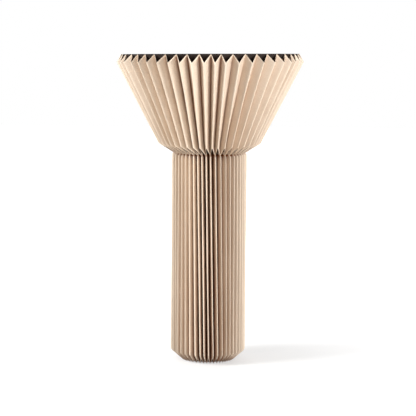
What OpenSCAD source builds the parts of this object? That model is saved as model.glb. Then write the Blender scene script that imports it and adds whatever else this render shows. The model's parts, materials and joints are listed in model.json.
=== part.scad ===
// Paper lantern floor lamp: a pleated card skin that hangs on a wire frame round a stand.
// The origin is on the floor, under the middle of the lamp. The photographed side faces -Y.

/* [Paper skin] */
// Pleats in each of the six glued sheets
pleats_per_sheet = 8; // [6:1:11]
// Thickness of the card
paper_t = 0.8; // [0.5:0.1:1.2]
// Overall height, at the inner folds of the rim
height = 933; // [900:1:980]
// Radius of the rim at its outer folds
rim_r = 282; // [270:1:300]
// Radius of the rim at its inner folds
rim_valley_r = 269; // [258:1:269]
// Drop from the inner folds of the rim to its outer folds
rim_drop = 24; // [15:1:30]
// Radius of the flare where its outer folds turn in to the neck
kink_r = 155; // [148:1:162]
// Height of that turn
kink_z = 661; // [652:1:670]
// Radius of the column at its outer folds
column_r = 113; // [109:1:116]
// Radius of the column at its inner folds
column_valley_r = 80; // [78:1:86]
// Height of the column at its outer folds
neck_z = 631; // [624:1:636]
// How far the neck tucks in above the column
tuck_in = 5; // [3:0.5:7]
// How far the neck rises over that tuck
tuck_rise = 4; // [3:0.5:8]
// Height of the chamfer round the foot
foot_chamfer = 30; // [24:1:36]
// Width of the slot for the cord in the back of the foot
cord_slot_w = 15; // [12:1:20]
// Height of that slot
cord_slot_h = 15; // [13:1:17]

/* [Rim and hoops] */
// Height of the dark band inside the rim
band_h = 34; // [28:1:45]
// Thickness of the band
band_t = 1.5; // [1:0.1:2.5]
// Diameter of the wire in the rim hoop
rim_wire_d = 5; // [4:0.5:6]
// Diameter of the wire in the neck and foot hoops
small_wire_d = 4; // [3:0.5:5]
// Diameter of the arms of the frame
arm_d = 5; // [4:0.5:6]
// Number of arms
arms = 4; // [3:1:6]

/* [Shade seat] */
// Radius of the hole in the frame's hub ring
hub_hole_r = 36; // [34:0.5:38]
// Width of the hub ring
hub_w = 10; // [8:0.5:14]
// Thickness of the hub ring
hub_t = 2.5; // [2:0.1:4]
// Height of the carrier's underside, where the stem ends
carrier_z = 636; // [600:1:650]
// Thickness of the carrier
carrier_t = 2.5; // [2:0.1:4]

/* [Stand] */
// Thickness of the base weight
base_t = 22; // [18:1:28]
// Thickness of the pads under it
pad_t = 3; // [2:0.5:5]
// Diameter of the pads
pad_d = 18; // [12:1:24]
// Outer diameter of the stem
stem_d = 16; // [14:0.5:20]
// Wall of the stem
stem_wall = 1.5; // [1:0.1:2]
// Outer diameter of the threaded tubes
nipple_d = 10; // [9:0.5:10.5]
// Wall of the threaded tubes
nipple_wall = 1.5; // [1:0.1:2]
// Diameter of the hole for the cord
cord_hole_d = 7.2; // [6:0.1:8]

/* [Lamp holder and bulb] */
// Outer diameter of the holder's shell
holder_d = 40; // [38:0.5:44]
// Length of the holder's shell
holder_h = 50; // [46:1:60]
// Diameter of the bulb's globe
bulb_d = 60; // [50:1:62]
// Overall length of the bulb
bulb_len = 108; // [100:1:120]
// Outer diameter of the bulb's screw cap
bulb_cap_d = 26.4; // [26:0.1:26.8]
// Diameter of the switch's knob
knob_d = 15; // [12:0.5:18]

/* [Hidden] */

$fn = 96;
// Clearance of a piece that is screwed or pressed home
fit = 0.05;
// Clearance of a piece that only rests against its neighbour
rest_gap = 0.3;
// Overrun of a cut past the face that it opens
over = 1;

// Folds of the skin
sheets = 6;
folds = 2 * pleats_per_sheet;
sheet_angle = 360 / sheets;
half_pitch = sheet_angle / folds;
// How far up the foot's chamfer the outer folds are cut off
foot_cut_share = 0.6;
// How far below the neck the inner folds of the column begin to lean out
hollow_drop = 31;
// Where the bottom of the hollow under the kink lies between the column's inner folds and the kink
hollow_r_share = 0.08;
hollow_z_share = 0.77;
// How far up the flare its inner folds have their full depth
flare_start_share = 0.05;

chamfer_in = column_r - column_valley_r;
tuck_r = column_r - tuck_in;
tuck_z = neck_z + tuck_rise;
hollow_z = neck_z - hollow_drop;

// Radius and height of the folds that stand out on the column and lie in on the flare
ridge_line = [
    [column_r - chamfer_in * (1 - foot_cut_share), foot_chamfer * foot_cut_share],
    [column_r, foot_chamfer],
    [column_r, neck_z],
    [tuck_r, tuck_z],
    [
        tuck_r + (rim_valley_r - tuck_r) * flare_start_share,
        tuck_z + (height - tuck_z) * flare_start_share
    ],
    [rim_valley_r, height]
];
// Radius and height of the folds that lie in on the column and stand out on the flare
valley_line = [
    [column_valley_r, 0],
    [column_valley_r, foot_chamfer],
    [column_valley_r, hollow_z],
    [
        column_valley_r + (kink_r - column_valley_r) * hollow_r_share,
        hollow_z + (kink_z - hollow_z) * hollow_z_share
    ],
    [kink_r, kink_z],
    [rim_r, height - rim_drop]
];
levels = len(ridge_line);

// How far in the card's inner corner lies behind its outer one, on a fold of radius a beside b
function corner_depth(a, b) =
    paper_t / sin(atan2(b * sin(half_pitch), abs(a - b * cos(half_pitch))));
function fold_line(i) = i % 2 == 0 ? ridge_line : valley_line;

// A corner of a fold, with the fold turned to the X axis, and the same corner of the next fold
function own_corner(i, j) = [fold_line(i)[j][0], 0, fold_line(i)[j][1]];
function next_corner(i, j) =
    let (p = fold_line(i + 1)[j])
    [p[0] * cos(half_pitch), p[0] * sin(half_pitch), p[1]];
// The three faces that meet at a corner on one side of its fold
function corner_faces(i, j) = i % 2 == 0 ? [
    [own_corner(i, j - 1), own_corner(i, j), next_corner(i, j)],
    [own_corner(i, j), next_corner(i, j + 1), next_corner(i, j)],
    [own_corner(i, j), own_corner(i, j + 1), next_corner(i, j + 1)]
] : [
    [own_corner(i, j - 1), own_corner(i, j), next_corner(i, j - 1)],
    [own_corner(i, j), next_corner(i, j), next_corner(i, j - 1)],
    [own_corner(i, j), own_corner(i, j + 1), next_corner(i, j)]
];
function face_out(f) =
    let (n = cross(f[1] - f[0], f[2] - f[0]))
    [n[0], n[2]] * sign(n[0]) / norm(n);
// Keeps a corner's offset short where its faces are almost parallel
corner_damping = 0.001;
// The step in the fold's plane that lies nearest to the card's thickness behind all three faces
function corner_step(i, j) =
    let (
        out = [for (f = corner_faces(i, j)) face_out(f)],
        r = [for (n = out) n[0]],
        z = [for (n = out) n[1]],
        sums = [1, 1, 1] * out,
        rr = r * r + corner_damping,
        zz = z * z + corner_damping,
        rz = r * z
    )
    [zz * sums[0] - rz * sums[1], rr * sums[1] - rz * sums[0]] * -paper_t / (rr * zz - rz * rz);
// Radius and height of a corner on the card's inner face, cut level at the rim and the foot
function inner_corner(i, j) =
    j == 0 || j == levels - 1
    ? fold_line(i)[j] - [corner_depth(fold_line(i)[j][0], fold_line(i + 1)[j][0]), 0]
    : fold_line(i)[j] + corner_step(i, j);
function fold_point(i, j, inside, start) =
    let (p = inside ? inner_corner(i, j) : fold_line(i)[j], a = start + i * half_pitch)
    [p[0] * cos(a), p[0] * sin(a), p[1]];

// Inner radius of the flare's inner folds at height z
function flare_in_r(z) =
    let (low = inner_corner(0, levels - 2), top = inner_corner(0, levels - 1))
    low[0] + (top[0] - low[0]) * (z - low[1]) / (top[1] - low[1]);
column_in_r = inner_corner(1, 2)[0];
flare_lean = atan2(flare_in_r(height) - flare_in_r(height - band_h), band_h);

// Band and hoops
band_z = height - band_h;
band_r_low = flare_in_r(band_z) - rest_gap;
band_r_top = flare_in_r(height) - rest_gap;
rim_hoop_z = band_z + band_h / 2;
rim_hoop_r = flare_in_r(rim_hoop_z) - rest_gap - (band_t + fit + rim_wire_d / 2) / cos(flare_lean);
small_hoop_r = column_in_r - rest_gap - small_wire_d / 2;
neck_hoop_z = hollow_z - small_wire_d;
// Hub ring and the carrier that it rests on
hub_r = hub_hole_r + hub_w;
hub_z = carrier_z + carrier_t;
carrier_share = 0.8;
carrier_r = hub_hole_r + hub_w * carrier_share;
carrier_step_r = hub_hole_r - rest_gap;
arm_foot_share = 0.6;
arm_foot_r = hub_hole_r + hub_w * arm_foot_share;
arm_foot_z = hub_z + hub_t;

// Base weight and what fixes the stem to it
base_z = pad_t;
base_top = base_z + base_t;
base_clear = 1;
base_r = column_in_r - base_clear;
base_edge = 2;
foot_hoop_z = base_top + rest_gap + small_wire_d / 2;
pad_ring_share = 0.75;
recess_r = 17;
recess_h = 11;
washer_r = 13;
washer_t = 1.5;
nut_flats = 17;
nut_t = 5.5;
nipple_out = 1.5;
channel_w = 13;
channel_h = 13.5;
bush_len = 14;
bush_lip = 2;
collar_r = 18;
collar_h = 14;
collar_foot_share = 0.25;
plug_len = 20;
stem_r = stem_d / 2;
stem_bore_r = stem_r - stem_wall;
nipple_r = nipple_d / 2;
nipple_bore_r = nipple_r - nipple_wall;
recess_z = base_z + recess_h;
cord_hole_z = base_z + channel_h / 2;
bush_r = (channel_w - 2 * fit) / 2;
nipple_seat = 16;

// Lamp holder
cap_z = hub_z + hub_t;
cap_h = 14;
cap_wall = 1.4;
cap_foot_r = 11;
cap_cone_share = 0.7;
holder_r = holder_d / 2;
shell_wall = 1.2;
shell_z = cap_z + cap_h - shell_wall;
shell_r = holder_r - cap_wall - fit;
shell_top = shell_z + holder_h;
shell_lip_r = 15.6;
block_r = shell_r - shell_wall - fit;
block_z = shell_z + shell_wall;
block_h = 24;
block_hollow_r = 9;
block_hollow_h = 8;
screw_z = block_z + block_h;
screw_shell_wall = 0.4;
thread_pitch = 3.6;
thread_depth = 0.7;
thread_gap = 0.35;
cap_turns = 5;
screw_shell_turns = 6;
contact_w = 7;
contact_t = 0.5;
contact_rise = 2.2;
contact_rest = 0.1;
terminal_x = 11;
terminal_r = 2.5;
terminal_h = 1.8;
slot_w = 0.8;
slot_depth = 0.8;

// Switch
switch_z = block_z + block_h / 2;
shaft_r = 2;
shaft_seat = 10;
knob_r = knob_d / 2;
knob_gap = 0.6;
knob_len = 8;
knob_edge = 1;
knob_grips = 16;
grip_r = 0.9;
shaft_hole_clear = 0.8;
shaft_start = block_r - shaft_seat;
knob_x = holder_r + knob_gap;

// Bulb
bulb_z = screw_z + contact_t + contact_rise + contact_rest;
bulb_r = bulb_d / 2;
bulb_cap_r = bulb_cap_d / 2;
contact_r = 4.5;
contact_h = 2;
tip_r = 9;
tip_h = 4;
bulb_cap_z = bulb_z + contact_h + tip_h;
bulb_cap_h = cap_turns * thread_pitch;
bulb_skirt_h = 3.5;
glass_t = 0.8;
glass_neck_r = bulb_cap_r - thread_depth - screw_shell_wall - fit;
globe_z = bulb_z + bulb_len - bulb_r;
glass_z = bulb_cap_z + bulb_cap_h / 2;

module sheet_solid(index) {
    start = (index - 1) * sheet_angle;
    row = levels;
    side = (folds + 1) * row;
    points = [
        for (s = [0, 1]) for (i = [0:folds]) for (j = [0:levels - 1]) fold_point(i, j, s == 1, start)
    ];
    // The diagonal of each quad runs from an even fold up to an odd one, so the ridges show at the neck
    outer = [
        for (i = [0:folds - 1]) for (j = [0:levels - 2])
            let (a = i * row + j, b = a + row, c = b + 1, d = a + 1)
            each i % 2 == 0 ? [[a, d, c], [a, c, b]] : [[a, d, b], [d, c, b]]
    ];
    inner = [for (f = outer) [f[2] + side, f[1] + side, f[0] + side]];
    top_edge = [
        for (i = [0:folds - 1])
            let (a = i * row + levels - 1, b = a + row)
            each [[a + side, b + side, b], [a + side, b, a]]
    ];
    foot_edge = [
        for (i = [0:folds - 1])
            let (a = i * row, b = a + row)
            each [[a + side, a, b], [a + side, b, b + side]]
    ];
    first_edge = [
        for (j = [0:levels - 2]) [j + side, j + 1 + side, j + 1, j]
    ];
    last_edge = [
        for (j = [0:levels - 2])
            let (a = folds * row + j)
            [a, a + 1, a + 1 + side, a + side]
    ];
    polyhedron(points, concat(outer, inner, top_edge, foot_edge, first_edge, last_edge), convexity = 10);
}

module paper_sheet(index) {
    color([0.86, 0.73, 0.60])
    difference() {
        sheet_solid(index);
        // The cord leaves through the back of the foot
        if (index == 2)
            translate([-cord_slot_w / 2, column_valley_r / 2, -over])
            cube([cord_slot_w, column_r, cord_slot_h + over]);
    }
}

module hoop(r, wire_r, z) {
    translate([0, 0, z])
    rotate_extrude()
    translate([r, 0])
    circle(wire_r);
}

module rim_band() {
    wall = band_t / cos(flare_lean);
    color([0.13, 0.12, 0.12])
    rotate_extrude()
    polygon([
        [band_r_low - wall, band_z],
        [band_r_low, band_z],
        [band_r_top, height],
        [band_r_top - wall, height]
    ]);
}

module rim_hoop() {
    color("dimgray")
    hoop(rim_hoop_r, rim_wire_d / 2, rim_hoop_z);
}

// Each arm is cut flat on the hub ring and hollowed to fit the hoop
module frame_arms() {
    rise = rim_hoop_z - arm_foot_z;
    reach = rim_hoop_r - arm_foot_r;
    lean = atan2(reach, rise);
    color("dimgray")
    for (k = [0:arms - 1])
        rotate([0, 0, (k + 0.5) * 360 / arms])
        difference() {
            translate([arm_foot_r, 0, arm_foot_z])
            rotate([0, lean, 0])
            translate([0, 0, -arm_d])
            cylinder(h = arm_d + norm([rise, reach]), d = arm_d);
            translate([0, -arm_d, arm_foot_z + fit - 4 * arm_d])
            cube([hub_r + arm_d, 2 * arm_d, 4 * arm_d]);
            hoop(rim_hoop_r, rim_wire_d / 2 + fit, rim_hoop_z);
        }
}

module hub_ring() {
    color("dimgray")
    translate([0, 0, hub_z])
    difference() {
        cylinder(h = hub_t, r = hub_r);
        translate([0, 0, -over])
        cylinder(h = hub_t + 2 * over, r = hub_hole_r);
    }
}

module neck_hoop() {
    color("dimgray")
    hoop(small_hoop_r, small_wire_d / 2, neck_hoop_z);
}

module foot_hoop() {
    color("dimgray")
    hoop(small_hoop_r, small_wire_d / 2, foot_hoop_z);
}

module base_weight() {
    color([0.16, 0.16, 0.17])
    difference() {
        translate([0, 0, base_z])
        rotate_extrude()
        polygon([
            [0, 0],
            [base_r - base_edge, 0],
            [base_r, base_edge],
            [base_r, base_t - base_edge],
            [base_r - base_edge, base_t],
            [0, base_t]
        ]);
        translate([0, 0, base_z - over])
        cylinder(h = recess_h + over, r = recess_r);
        cylinder(h = base_top + over, r = nipple_r + fit);
        // Channel that brings the cord from the back to the middle
        translate([-channel_w / 2, 0, base_z - over])
        cube([channel_w, base_r + over, over + channel_h / 2]);
        translate([0, 0, cord_hole_z])
        rotate([-90, 0, 0])
        cylinder(h = base_r + over, d = channel_w);
    }
}

module base_pads() {
    color([0.1, 0.1, 0.1])
    for (k = [0:3])
        rotate([0, 0, 45 + k * 90])
        translate([base_r * pad_ring_share, 0, 0])
        cylinder(h = pad_t, d = pad_d);
}

// Rubber bush in the mouth of the channel, flush with the edge of the base weight
module cord_bush() {
    back = base_r - base_edge;
    color([0.08, 0.08, 0.08])
    translate([0, back - bush_len, cord_hole_z])
    rotate([-90, 0, 0])
    difference() {
        union() {
            cylinder(h = bush_len, r = bush_r);
            cylinder(h = bush_lip, r = bush_r - fit);
        }
        translate([0, 0, -over])
        cylinder(h = bush_len + 2 * over, d = cord_hole_d);
    }
}

module foot_washer() {
    color("silver")
    translate([0, 0, recess_z - washer_t])
    difference() {
        cylinder(h = washer_t, r = washer_r);
        translate([0, 0, -over])
        cylinder(h = washer_t + 2 * over, r = nipple_r + fit);
    }
}

module foot_nut() {
    color("silver")
    translate([0, 0, recess_z - washer_t - nut_t])
    difference() {
        cylinder(h = nut_t, r = nut_flats / 2 / cos(30), $fn = 6);
        translate([0, 0, -over])
        cylinder(h = nut_t + 2 * over, r = nipple_r + fit);
    }
}

module nipple(low, top) {
    color([0.72, 0.6, 0.32])
    translate([0, 0, low])
    difference() {
        cylinder(h = top - low, r = nipple_r);
        translate([0, 0, -over])
        cylinder(h = top - low + 2 * over, r = nipple_bore_r);
    }
}

module foot_nipple() {
    nipple(recess_z - washer_t - nut_t - nipple_out, base_top + nipple_seat);
}

module head_nipple() {
    nipple(carrier_z - nipple_seat, cap_z + cap_wall + nut_t);
}

// Turned collar that steadies the stem on the base weight
module foot_collar() {
    color([0.16, 0.16, 0.17])
    translate([0, 0, base_top])
    rotate_extrude()
    polygon([
        [stem_r + fit, 0],
        [collar_r, 0],
        [collar_r, collar_h * collar_foot_share],
        [stem_r + stem_wall, collar_h],
        [stem_r + fit, collar_h]
    ]);
}

module stem() {
    color([0.2, 0.2, 0.21])
    translate([0, 0, base_top])
    difference() {
        cylinder(h = carrier_z - base_top, r = stem_r);
        translate([0, 0, -over])
        cylinder(h = carrier_z - base_top + 2 * over, r = stem_bore_r);
    }
}

module plug(low) {
    color([0.72, 0.6, 0.32])
    translate([0, 0, low])
    difference() {
        cylinder(h = plug_len, r = stem_bore_r - fit);
        translate([0, 0, -over])
        cylinder(h = plug_len + 2 * over, r = nipple_r + fit);
    }
}

module foot_plug() {
    plug(base_top);
}

module head_plug() {
    plug(carrier_z - plug_len);
}

// Pressed dish: the hub ring drops over its step and rests on its flange
module shade_carrier() {
    color([0.2, 0.2, 0.21])
    translate([0, 0, carrier_z])
    rotate_extrude()
    polygon([
        [nipple_r + fit, 0],
        [carrier_r, 0],
        [carrier_r, carrier_t],
        [carrier_step_r, carrier_t],
        [carrier_step_r, carrier_t + hub_t],
        [nipple_r + fit, carrier_t + hub_t]
    ]);
}

module holder_cap() {
    rise = cap_h - shell_wall;
    color([0.09, 0.09, 0.09])
    translate([0, 0, cap_z])
    rotate_extrude()
    polygon([
        [nipple_r + fit, 0],
        [cap_foot_r, 0],
        [holder_r, rise * cap_cone_share],
        [holder_r, rise + 2 * cap_wall],
        [holder_r - cap_wall, rise + 2 * cap_wall],
        [holder_r - cap_wall, rise * cap_cone_share + cap_wall],
        [cap_foot_r - cap_wall / 2, cap_wall],
        [nipple_r + fit, cap_wall]
    ]);
}

module holder_shell() {
    color([0.09, 0.09, 0.09])
    difference() {
        translate([0, 0, shell_z])
        rotate_extrude()
        polygon([
            [shell_r - 2 * shell_wall, 0],
            [shell_r, 0],
            [shell_r, holder_h],
            [shell_lip_r, holder_h],
            [shell_lip_r, holder_h - shell_wall],
            [shell_r - shell_wall, holder_h - shell_wall],
            [shell_r - shell_wall, shell_wall - fit],
            [shell_r - 2 * shell_wall, shell_wall - fit]
        ]);
        translate([0, 0, switch_z])
        rotate([0, 90, 0])
        cylinder(h = holder_d, r = shaft_r + shaft_hole_clear);
    }
}

// Moulded block that holds the contacts and the switch
module holder_block() {
    color([0.85, 0.83, 0.78])
    difference() {
        translate([0, 0, block_z])
        cylinder(h = block_h, r = block_r);
        translate([0, 0, block_z - over])
        cylinder(h = block_hollow_h + over, r = block_hollow_r);
        translate([shaft_start, 0, switch_z])
        rotate([0, 90, 0])
        cylinder(h = shaft_seat + over, r = shaft_r + fit);
    }
}

// Half profile of a rolled thread: the radius swings in by the thread's depth once in each turn
function thread_points(r, turns, z) = [
    for (k = [0:2 * turns]) [r - (k % 2 == 0 ? 0 : thread_depth), z + k * thread_pitch / 2]
];

module holder_screw_shell() {
    bore = bulb_cap_r + thread_gap;
    outside = thread_points(bore + screw_shell_wall + thread_depth, screw_shell_turns, 0);
    inside = thread_points(bore + thread_depth, screw_shell_turns, 0);
    color([0.78, 0.64, 0.3])
    translate([0, 0, screw_z])
    rotate_extrude()
    polygon(concat(outside, [for (k = [len(inside) - 1:-1:0]) inside[k]]));
}

// Springy strip under the bulb's tip
module holder_contact() {
    color([0.78, 0.64, 0.3])
    translate([0, contact_w / 2, screw_z])
    rotate([90, 0, 0])
    linear_extrude(contact_w)
    polygon([
        [-contact_w, 0],
        [-contact_w / 2, 0],
        [0, contact_rise],
        [contact_w / 2, contact_rise],
        [contact_w / 2, contact_rise + contact_t],
        [-contact_t / 2, contact_rise + contact_t],
        [-contact_w / 2 - contact_t / 2, contact_t],
        [-contact_w, contact_t]
    ]);
}

module terminal_screws() {
    color("silver")
    for (side = [-1, 1])
        translate([0, side * terminal_x, block_z - terminal_h])
        difference() {
            cylinder(h = terminal_h, r = terminal_r);
            translate([-terminal_r - over, -slot_w / 2, -over])
            cube([2 * (terminal_r + over), slot_w, slot_depth + over]);
        }
}

module switch_shaft() {
    color("silver")
    translate([shaft_start + fit, 0, switch_z])
    rotate([0, 90, 0])
    cylinder(h = knob_x + knob_len / 2 - shaft_start - fit, r = shaft_r);
}

module switch_knob() {
    color([0.07, 0.07, 0.07])
    translate([knob_x, 0, switch_z])
    rotate([0, 90, 0])
    difference() {
        rotate_extrude()
        polygon([
            [0, 0],
            [knob_r, 0],
            [knob_r - knob_edge / 2, knob_len - knob_edge],
            [knob_r - 2 * knob_edge, knob_len],
            [0, knob_len]
        ]);
        translate([0, 0, -over])
        cylinder(h = knob_len / 2 + over, r = shaft_r);
        for (k = [0:knob_grips - 1])
            rotate([0, 0, (k + 0.5) * 360 / knob_grips])
            translate([knob_r, 0, -over])
            cylinder(h = knob_len + 2 * over, r = grip_r);
    }
}

// Globe and neck of the bulb, drawn smaller by skin; the neck runs into the globe along a tangent
module globe_form(skin) {
    r = bulb_r - skin;
    neck_r = glass_neck_r - skin;
    neck_rise = globe_z - bulb_cap_z - bulb_cap_h - bulb_skirt_h;
    tangent = atan2(neck_r, neck_rise) + acos(r / norm([neck_r, neck_rise]));
    translate([0, 0, globe_z])
    sphere(r);
    rotate_extrude()
    polygon([
        [0, glass_z - skin],
        [neck_r, glass_z - skin],
        [neck_r, globe_z - neck_rise],
        [r * sin(tangent), globe_z - r * cos(tangent)],
        [0, globe_z]
    ]);
}

module bulb_globe() {
    color([0.95, 0.94, 0.9])
    difference() {
        globe_form(0);
        globe_form(glass_t);
    }
}

module bulb_cap() {
    outside = thread_points(bulb_cap_r, cap_turns, 0);
    inside = thread_points(bulb_cap_r - screw_shell_wall, cap_turns, 0);
    color([0.8, 0.8, 0.82])
    translate([0, 0, bulb_cap_z])
    rotate_extrude()
    polygon(concat(outside, [for (k = [len(inside) - 1:-1:0]) inside[k]]));
}

// Black insulator between the cap and its tip
module bulb_collar() {
    color([0.08, 0.08, 0.08])
    translate([0, 0, bulb_z + contact_h])
    cylinder(h = tip_h, r1 = tip_r, r2 = bulb_cap_r - screw_shell_wall);
}

module bulb_contact() {
    color("silver")
    translate([0, 0, bulb_z])
    cylinder(h = contact_h, r1 = contact_r, r2 = tip_r);
}

paper_sheet(1);  // paper_sheet_1
paper_sheet(2);  // paper_sheet_2
paper_sheet(3);  // paper_sheet_3
paper_sheet(4);  // paper_sheet_4
paper_sheet(5);  // paper_sheet_5
paper_sheet(6);  // paper_sheet_6
rim_band();
rim_hoop();
frame_arms();
hub_ring();
neck_hoop();
foot_hoop();
base_weight();
base_pads();
cord_bush();
foot_washer();
foot_nut();
foot_nipple();
foot_collar();
stem();
foot_plug();
head_plug();
head_nipple();
shade_carrier();
holder_cap();
holder_shell();
holder_block();
holder_screw_shell();
holder_contact();
terminal_screws();
switch_shaft();
switch_knob();
bulb_globe();
bulb_cap();
bulb_collar();
bulb_contact();
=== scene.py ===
import json
import math

import bpy
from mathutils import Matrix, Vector


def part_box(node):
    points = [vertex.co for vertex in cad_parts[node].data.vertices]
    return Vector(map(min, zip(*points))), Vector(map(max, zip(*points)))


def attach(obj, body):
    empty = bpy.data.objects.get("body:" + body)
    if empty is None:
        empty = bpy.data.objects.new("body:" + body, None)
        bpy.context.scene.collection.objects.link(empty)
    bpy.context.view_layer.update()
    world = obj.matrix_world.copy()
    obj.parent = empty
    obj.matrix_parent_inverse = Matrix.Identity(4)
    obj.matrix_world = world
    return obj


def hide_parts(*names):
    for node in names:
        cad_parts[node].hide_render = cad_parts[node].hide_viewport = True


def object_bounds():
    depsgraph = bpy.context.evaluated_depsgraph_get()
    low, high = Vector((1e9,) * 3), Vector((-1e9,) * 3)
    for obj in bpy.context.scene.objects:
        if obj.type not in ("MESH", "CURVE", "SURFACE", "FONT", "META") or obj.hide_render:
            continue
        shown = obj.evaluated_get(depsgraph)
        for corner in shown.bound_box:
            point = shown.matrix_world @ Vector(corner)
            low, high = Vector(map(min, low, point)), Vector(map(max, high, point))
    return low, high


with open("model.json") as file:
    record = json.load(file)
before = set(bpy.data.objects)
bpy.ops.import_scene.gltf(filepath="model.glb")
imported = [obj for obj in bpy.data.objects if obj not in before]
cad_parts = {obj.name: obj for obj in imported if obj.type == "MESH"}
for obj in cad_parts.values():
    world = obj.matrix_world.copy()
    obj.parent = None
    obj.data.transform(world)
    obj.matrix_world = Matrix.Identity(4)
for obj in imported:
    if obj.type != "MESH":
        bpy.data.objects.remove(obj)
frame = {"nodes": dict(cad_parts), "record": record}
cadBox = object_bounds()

mm = 0.001


# One function adds a node: settings are its own fields, and inputs are values, sockets or nodes
def addNode(tree, kind, inputs=None, **settings):
    node = tree.nodes.new(kind)
    for name, value in settings.items():
        setattr(node, name, value)
    for key, value in (inputs or {}).items():
        socket = node.inputs[key]
        if isinstance(value, bpy.types.Node):
            value = next(s for s in value.outputs if s.enabled)
        if isinstance(value, bpy.types.NodeSocket):
            tree.links.new(value, socket)
        else:
            socket.default_value = value
    return node


def hexColour(code):
    channels = [int(code[i:i + 2], 16) / 255 for i in (1, 3, 5)]
    return [c / 12.92 if c <= 0.04045 else ((c + 0.055) / 1.055) ** 2.4 for c in channels] + [1]


# A new material, its tree and shader, and where a point lies on the object, in metres
def newMaterial(name):
    material = bpy.data.materials.new(name)
    material.use_nodes = True
    tree = material.node_tree
    place = addNode(tree, "ShaderNodeTexCoord").outputs["Object"]
    return material, tree, tree.nodes["Principled BSDF"], place


# Kraft card: unbleached pulp board, uncoated and matt, with loose fibres, folds painted lighter (partly wear,
# partly painted highlight) and painted shade in its inner folds and hollows
def kraftCard():
    material, tree, shader, place = newMaterial("kraftCard")
    # Fibres are about 0.3 mm thick and 3 mm long; the noise is drawn at their length so that they show
    fibre = addNode(tree, "ShaderNodeTexNoise", {"Vector": place, "Scale": 1 / (3 * mm), "Detail": 4})
    cloud = addNode(tree, "ShaderNodeTexNoise", {"Vector": place, "Scale": 1 / (60 * mm), "Detail": 3})
    tint = addNode(tree, "ShaderNodeMix", {
        "Factor": addNode(tree, "ShaderNodeMapRange", {0: cloud.outputs["Fac"], 1: 0.3, 2: 0.7}),
        6: hexColour("#E4CFBA"), 7: hexColour("#ECDAC7")}, data_type="RGBA")
    speck = addNode(tree, "ShaderNodeMix", {
        "Factor": addNode(tree, "ShaderNodeMapRange", {
            0: fibre.outputs["Fac"], 1: 0.35, 2: 0.65, 3: 0.0, 4: 0.5}),
        6: tint.outputs[2], 7: hexColour("#DAC4AE")}, data_type="RGBA")
    # Painted shade: the inner folds are darkened brown where shade falls in them
    shadeAmount = addNode(tree, "ShaderNodeAttribute", attribute_name="foldShade")
    foldShaded = addNode(tree, "ShaderNodeMix", {
        "Factor": addNode(tree, "ShaderNodeMapRange", {0: shadeAmount.outputs["Fac"], 1: 0.0, 2: 1.0}),
        6: speck.outputs[2], 7: hexColour("#8F5530")}, data_type="RGBA")
    # Darker painted shade in the hollows under the kinks and on the inside of the rim, where the attribute
    # goes on from 1 to 2
    hollowShaded = addNode(tree, "ShaderNodeMix", {
        "Factor": addNode(tree, "ShaderNodeMapRange", {0: shadeAmount.outputs["Fac"], 1: 1.0, 2: 2.0}),
        6: foldShaded.outputs[2], 7: hexColour("#543824")}, data_type="RGBA")
    # Folds and cut edge painted lighter: partly wear, partly painted highlight
    wearAndHighlight = addNode(tree, "ShaderNodeAttribute", attribute_name="foldWearAndHighlight")
    worn = addNode(tree, "ShaderNodeMix", {
        "Factor": wearAndHighlight.outputs["Fac"],
        6: hollowShaded.outputs[2], 7: hexColour("#F6E4CF")}, data_type="RGBA")
    tree.links.new(worn.outputs[2], shader.inputs["Base Color"])
    shader.inputs["Roughness"].default_value = 0.85
    shader.inputs["IOR"].default_value = 1.45
    shader.inputs["Specular IOR Level"].default_value = 0.15
    bump = addNode(tree, "ShaderNodeBump", {
        "Height": fibre.outputs["Fac"], "Strength": 0.25, "Distance": 0.3 * mm})
    tree.links.new(bump.outputs["Normal"], shader.inputs["Normal"])
    return material


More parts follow.
